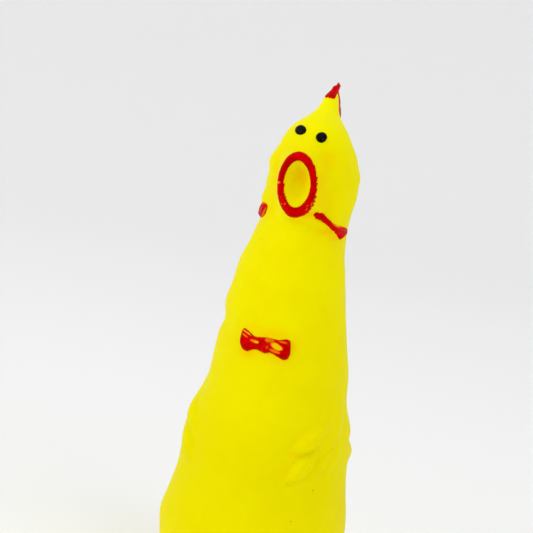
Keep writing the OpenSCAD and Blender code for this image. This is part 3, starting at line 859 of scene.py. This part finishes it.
def build_bow():
    """The bow tie: both loops in one piece, and the knot over them."""
    bow_piece("bow_loops", "bow_tie_loops", BOW_ENDS, 121, False)
    bow_piece("bow_knot", "bow_tie_knot", KNOT_ENDS, 33, True)


def build_eye(name):
    """A raised dot of enamel with a soft rim, lying on the skin."""
    (x0, z0), (side_x, side_z), (top_x, top_z) = EYES[name]
    cols, rows = 72, 13
    t = np.arange(cols) / cols * TAU
    s = np.linspace(0.02, 1, rows)[:, None]
    out = s * (1 + 0.02 * waves(t, EYE_SEEDS[name], 3))
    x = x0 + out * (side_x * np.cos(t) + top_x * np.sin(t))
    z = z0 + out * (side_z * np.cos(t) + top_z * np.sin(t))
    turn, level = front_turn(x, z)
    rise = np.repeat(0.06 + EYE_HIGH * (1 - s ** 2.6) ** 0.55, cols, axis=1)
    patch(name + "_dot", "head", [name], "eye", turn, level, rise)


# The comb by the share of the way from the horn's tip to the nape: height and depth of its base line, its
# place across, and how far it stands out
COMB_Z = spline([(0, 164.9), (0.08, 163.3), (0.25, 158.5), (0.5, 151.0), (0.75, 145.0), (1, 140.0)])
COMB_Y = spline([(0, 14.9), (0.08, 14.2), (0.25, 12.2), (0.5, 12.6), (0.75, 15.2), (1, 17.4)])
COMB_X = spline([(0, 1.3), (0.1, 0.95), (0.3, 1.1), (0.6, 1.3), (0.8, 1.35), (1, 1.0)])
COMB_OUT = spline([(0, 0.5), (0.04, 0.7), (0.065, 0.8), (0.09, 2.5), (0.12, 2.0), (0.15, 3.7), (0.2, 5.6),
                   (0.28, 8.6), (0.5, 11.6), (0.75, 8.4), (0.93, 4.4), (1, 1.3)])
COMB_LEAN = math.radians(10)
COMB_LOBES = 6.2


def build_comb():
    """A thin notched comb from the horn's tip down the back of the head."""
    cols, rows = 150, 15
    t = np.linspace(0, 1, cols)
    s = np.linspace(0, 1, rows)[:, None]
    lobes = np.abs(np.sin(t * math.pi * COMB_LOBES + 0.2)) ** 0.7
    notch = 0.07 + 0.17 * smooth(0.3, 0.5, t)
    out = COMB_OUT(t) * (1 - notch + notch * lobes) + 0.10 * waves(t * TAU, 63, 13)
    y = COMB_Y(t) + s * out * math.cos(COMB_LEAN)
    z = COMB_Z(t) + s * out * math.sin(COMB_LEAN) * (1.2 - 2.2 * t)
    # half thickness: less at the outer edge and at both ends
    thick = (1.15 - 0.75 * s ** 1.4) * (0.28 + 0.72 * smooth(0.02, 0.14, t)) * (1 - 0.5 * smooth(0.85, 1, t))
    thick = thick * (1 + 0.2 * (lobes - 0.6) * s) + 0.10 * np.sin(t * 46 + 2 * s) * s * (1 - s) * 2
    middle = COMB_X(t) + 0.10 * np.sin(t * 7 + s * 2) * s
    sides = [np.stack([middle + sign * thick, y, z], -1).reshape(-1, 3) for sign in (1, -1)]
    verts, faces = np.concatenate(sides), sheet_faces(rows, cols)
    obj = make("comb_fin", verts, faces, "comb", "head", ["comb"])
    outward(obj)
    wear = 0.35 * smooth(0.7, 1, s) * (0.5 + 0.5 * np.sin(t * 30))
    paint_attribute(obj, "wear", np.concatenate([wear.ravel()] * 2))


CAP_LOW, CAP_TOP = 160.0, LEVEL_TIP - 0.03    # levels of the red coat on the horn


def build_horn_cap():
    """The red paint on the horn: a thin coat with a scalloped lower edge that runs up into the comb."""
    cols, rows = 144, 34
    turns = np.arange(cols) * 360.0 / cols
    t = np.radians(turns)
    around = wrapped(turns)
    low = CAP_LOW + 1.7 * smooth(44, 84, around) + 1.4 * smooth(60, 140, -around) + 0.16 * waves(t, 71, 6)
    s = np.linspace(0, 1, rows)[:, None]
    level = low + (CAP_TOP - low) * s
    rise = 0.05 + 0.20 * smooth(0, 0.10, s) + 0.10 * waves(t, 73, 3) * np.sin(s * 9) * s
    # a small knob on the side of the tip
    rise = rise + 0.5 * np.exp(-((level - 163.2) / 0.6) ** 2) * (0.5 - 0.5 * np.sin(t))
    wear = np.repeat(0.25 * (1 - smooth(0, 0.12, s)), cols, axis=1)
    patch("horn_cap", "head", [], "comb", np.tile(turns, (rows, 1)), level, rise, sink=0.2,
          wear=wear)


# ---------------------------------------------------------------- soft shapes joined by a remesh

def blob(name, parts, voxel, smooth_steps, material):
    """One closed soft shape from ball chains, each a list of (x, y, z, rx, ry, rz, turn about Z)."""
    bm = bmesh.new()
    for balls in parts:
        for x, y, z, rx, ry, rz, turn in balls:
            made = bmesh.ops.create_icosphere(bm, subdivisions=3, radius=1.0)
            spin = Matrix.Rotation(turn, 3, "Z")
            for v in made["verts"]:
                v.co = (Vector((x, y, z)) + spin @ Vector((v.co.x * rx, v.co.y * ry, v.co.z * rz))) * MM
    mesh = bpy.data.meshes.new(name)
    bm.to_mesh(mesh)
    bm.free()
    obj = new_object(name, mesh)
    remesh = obj.modifiers.new("join", "REMESH")
    remesh.mode = "VOXEL"
    remesh.voxel_size = voxel * MM
    soften = obj.modifiers.new("soften", "SMOOTH")
    soften.factor = 0.5
    soften.iterations = smooth_steps
    dg = bpy.context.evaluated_depsgraph_get()
    done = bpy.data.meshes.new_from_object(obj.evaluated_get(dg))
    obj.modifiers.clear()
    obj.data = done
    done.name = name
    shade_smooth(done)
    done.materials.clear()
    done.materials.append(MATERIALS[material])
    return obj


def between(a, b, t):
    """The place at a share t of the way from a to b."""
    return [a[i] + (b[i] - a[i]) * t for i in range(3)]


def chain(a, b, count, ra, rb, flat=1.0, lift=0.0):
    """Balls from a to b with radii from ra to rb. flat squashes them in height, and lift arches the row."""
    out = []
    for k in range(count):
        t = k / (count - 1)
        r = ra + (rb - ra) * t
        p = between(a, b, t)
        out.append((p[0], p[1], p[2] + lift * math.sin(t * math.pi), r, r, r * flat, 0.0))
    return out


TOE_TURNS = (-33, 0, 33)
TOE_PADS = ((0.30, 2.35), (0.58, 2.15), (0.86, 1.9))    # share of the toe's length, and size
TOE_SHORT = 3.4     # how far the middle toe, without its claw, ends behind the front of the foot's box
CLAW_LONG = 3.3
WEB_REACH = 6.0     # how far in front of the ankle the web between the toes ends
ANKLE_IN = 3.2      # how far the ankle is in front of the back of the foot's box
FLOOR_GAP = 0.02    # the lowest that the foot's points lie


def foot_parts(x0, ankle, reach):
    """Ball chains of a leg, an instep, three toes with pads and claws, and the web between the toes.
    ankle and reach are the places of the ankle and of the foremost tip from front to back."""
    parts = [chain((x0, ankle + 8, 4.3), (x0, ankle + 0.5, 3.8), 9, 3.9, 3.2),
             chain((x0, ankle + 1.0, 3.5), (x0, ankle - 4.6, 2.5), 8, 3.2, 2.6, 0.85)]
    for turn in TOE_TURNS:
        a = math.radians(turn)
        long = ankle - reach - TOE_SHORT - abs(turn) * 0.05
        start = (x0 + math.sin(a) * 2.0, ankle - 2.5, 2.4)
        tip = (x0 + math.sin(a) * long, ankle - math.cos(a) * long, 1.6)
        parts.append(chain(start, tip, 13, 2.05, 1.45, 0.9, 0.35))
        for share, r in TOE_PADS:
            x, y, z = between(start, tip, share)
            parts.append([(x, y, z + 0.35, r, r * 0.52, r * 0.92, a)])
        claw = (tip[0] + math.sin(a) * CLAW_LONG, tip[1] - math.cos(a) * CLAW_LONG, 0.75)
        parts.append(chain((tip[0], tip[1], 1.95), claw, 9, 1.1, 0.42))
    for turn in (TOE_TURNS[0] / 2, TOE_TURNS[2] / 2):
        a = math.radians(turn)
        edge = (x0 + math.sin(a) * WEB_REACH, ankle - math.cos(a) * WEB_REACH, 1.1)
        parts.append(chain((x0, ankle - 3, 1.8), edge, 7, 2.0, 1.2, 0.6))
    return parts


def build_foot(side):
    """A short leg and a three-toed foot that lies on the floor, painted red up to the ankle."""
    name = "left" if side > 0 else "right"
    low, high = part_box("foot_" + name)
    x0 = (low[0] + high[0]) / 2 / MM
    ankle = high[1] / MM - ANKLE_IN
    parts = foot_parts(x0, ankle, low[1] / MM)
    obj = blob("leg_and_foot_" + name, parts, 0.24, 3, "foot")
    co = mesh_values(obj.data.vertices, "co", width=3)
    co[:, 2] = np.maximum(co[:, 2], FLOOR_GAP * MM)
    obj.data.vertices.foreach_set("co", co.ravel())
    at = co / MM
    line = ankle + 1.6 + 0.35 * np.sin(at[:, 0] * 2.1 + side) + 0.2 * np.sin(at[:, 2] * 3.7)
    paint_attribute(obj, "wear", smooth(-0.25, 0.25, at[:, 1] - line) * 1.2)
    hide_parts("leg_" + name, "foot_" + name)
    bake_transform(obj)


TAIL_FEATHERS = ((-30, 0.0), (30, 0.0), (0, 1.0))    # turn in degrees, and how far back it is moved
TAIL_BALLS = 16


def build_tail():
    """A short upturned fan of three feathers."""
    low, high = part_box("tail")
    top = (high[2] / MM) - 1.6
    back = (high[1] / MM) - 2.0
    parts = []
    for turn, shift in TAIL_FEATHERS:
        a = math.radians(turn)
        tip = (math.sin(a) * 14.0, back - 0.6 + shift, top - abs(turn) * 0.10)
        root = (math.sin(a) * 4.0, 23.5 + shift, 18.5)
        for k in range(TAIL_BALLS):
            t = k / (TAIL_BALLS - 1)
            x, y, z = between(root, tip, t)
            arch = math.sin(t * math.pi)
            wide = 3.9 + 1.2 * arch - 1.5 * t
            parts.append([(x, y - 0.8 * arch, z, wide, 1.9 - 0.8 * t, 2.6 - 0.9 * t, 0.0)])
        # a raised quill along each feather
        quill = (root[0], root[1] + 1.7, root[2] - 0.4)
        parts.append(chain(quill, (tip[0], tip[1] + 0.9, tip[2] - 0.9), 18, 0.75, 0.4))
    obj = blob("tail_fan", parts, 0.28, 3, "skin")
    paint_attribute(obj, "orange_and_shade", np.zeros(len(obj.data.vertices)))
    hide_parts("tail")
    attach(obj, "torso")


def finish_cad_nodes():
    """The squeaker's CAD pieces stay, and get their plastic."""
    for node in ("squeaker_housing", "squeaker_cap", "reed_seat", "reed_clip", "squeaker_reed"):
        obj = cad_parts[node]
        obj.data.materials.clear()
        obj.data.materials.append(MATERIALS["reed" if node == "squeaker_reed" else "squeaker"])


# ---------------------------------------------------------------- stage

FLOOR_FLAT, FLOOR_WIDE, FLOOR_HIGH = 0.8, 2.2, 2.0    # the stage: flat in the middle, curving up all round
TARGET = (-0.0076, -0.0038, 0.1038)  # the point in the middle of the picture
CAMERA_AZIMUTH, CAMERA_ELEVATION = 17.0, 8.0
CAMERA_ROLL = 8.9
CAMERA_FAR = 0.75
SENSOR = 36.0
FIELD = 0.172                        # width of the picture at the toy, in metres
LIGHT_AIM = (0, 0, 0.09)
SKY_COLOUR, SKY_STRENGTH = (0.93, 0.945, 0.95, 1), 0.55


def build_floor():
    """A round floor that curves up into a pale wall all round."""
    cols = 96
    turn = np.arange(cols) / cols * TAU
    bend = np.linspace(0, math.pi / 2, 24)
    rings = [(0.02, 0.0), (0.3, 0.0)]
    for b in bend:
        rings.append((FLOOR_FLAT + (FLOOR_WIDE - FLOOR_FLAT) * math.sin(b), FLOOR_HIGH * (1 - math.cos(b))))
    verts = [(r * math.cos(t), r * math.sin(t), z) for r, z in rings for t in turn]
    faces = [tuple(range(cols))]
    for k in range(len(rings) - 1):
        faces += ring_faces(k * cols, (k + 1) * cols, cols)
    mesh = bpy.data.meshes.new("floor")
    mesh.from_pydata(verts, [], faces)
    shade_smooth(mesh)
    mesh.materials.append(floor_material())
    floor = new_object("floor", mesh)


def area_light(name, at, size, power, colour):
    """A soft box at a place in metres, turned to the toy, with its size in metres and its power in watts."""
    data = bpy.data.lights.new(name, "AREA")
    data.shape = "RECTANGLE"
    data.size, data.size_y = size
    data.energy = power
    data.color = colour
    obj = new_object(name, data)
    obj.location = at
    obj.rotation_euler = (Vector(LIGHT_AIM) - Vector(at)).to_track_quat("-Z", "Y").to_euler()


def build_lights():
    """Three soft boxes and a pale sky."""
    area_light("soft_key", (-0.95, -0.75, 0.85), (1.1, 1.1), 6.8, (1.0, 0.995, 0.985))
    area_light("soft_fill", (1.05, -0.70, 0.55), (1.0, 1.0), 3.9, (0.99, 0.995, 1.0))
    area_light("soft_top", (0.1, 0.3, 1.5), (1.4, 1.4), 5.0, (1.0, 1.0, 1.0))
    world = bpy.data.worlds.new("studio")
    world.use_nodes = True
    background = world.node_tree.nodes["Background"]
    background.inputs["Color"].default_value = SKY_COLOUR
    background.inputs["Strength"].default_value = SKY_STRENGTH
    bpy.context.scene.world = world
    bpy.context.scene.view_settings.view_transform = "Standard"
    bpy.context.scene.view_settings.look = "None"


def build_camera():
    """At the photo's angle: a little to the toy's left, a little above it, and rolled."""
    data = bpy.data.cameras.new("camera")
    data.sensor_width = SENSOR
    data.lens = SENSOR * CAMERA_FAR / FIELD
    data.clip_start, data.clip_end = 0.05, 20
    camera = new_object("camera", data)
    a, e = math.radians(CAMERA_AZIMUTH), math.radians(CAMERA_ELEVATION)
    back = Vector((math.sin(a) * math.cos(e), -math.cos(a) * math.cos(e), math.sin(e)))
    camera.location = Vector(TARGET) + back * CAMERA_FAR
    aim = (-back).to_track_quat("-Z", "Y").to_matrix()
    roll = math.radians(CAMERA_ROLL)
    c, s = math.cos(roll), math.sin(roll)
    camera.rotation_euler = (aim @ Matrix(((c, -s, 0), (s, c, 0), (0, 0, 1)))).to_euler()
    bpy.context.scene.camera = camera


build_camera()
build_lights()
build_floor()
build_skins()
build_lip()
for side in (1, -1):
    build_wattle(side)
    build_foot(side)
build_bow()
for eye in EYES:
    build_eye(eye)
build_comb()
build_horn_cap()
build_tail()
finish_cad_nodes()
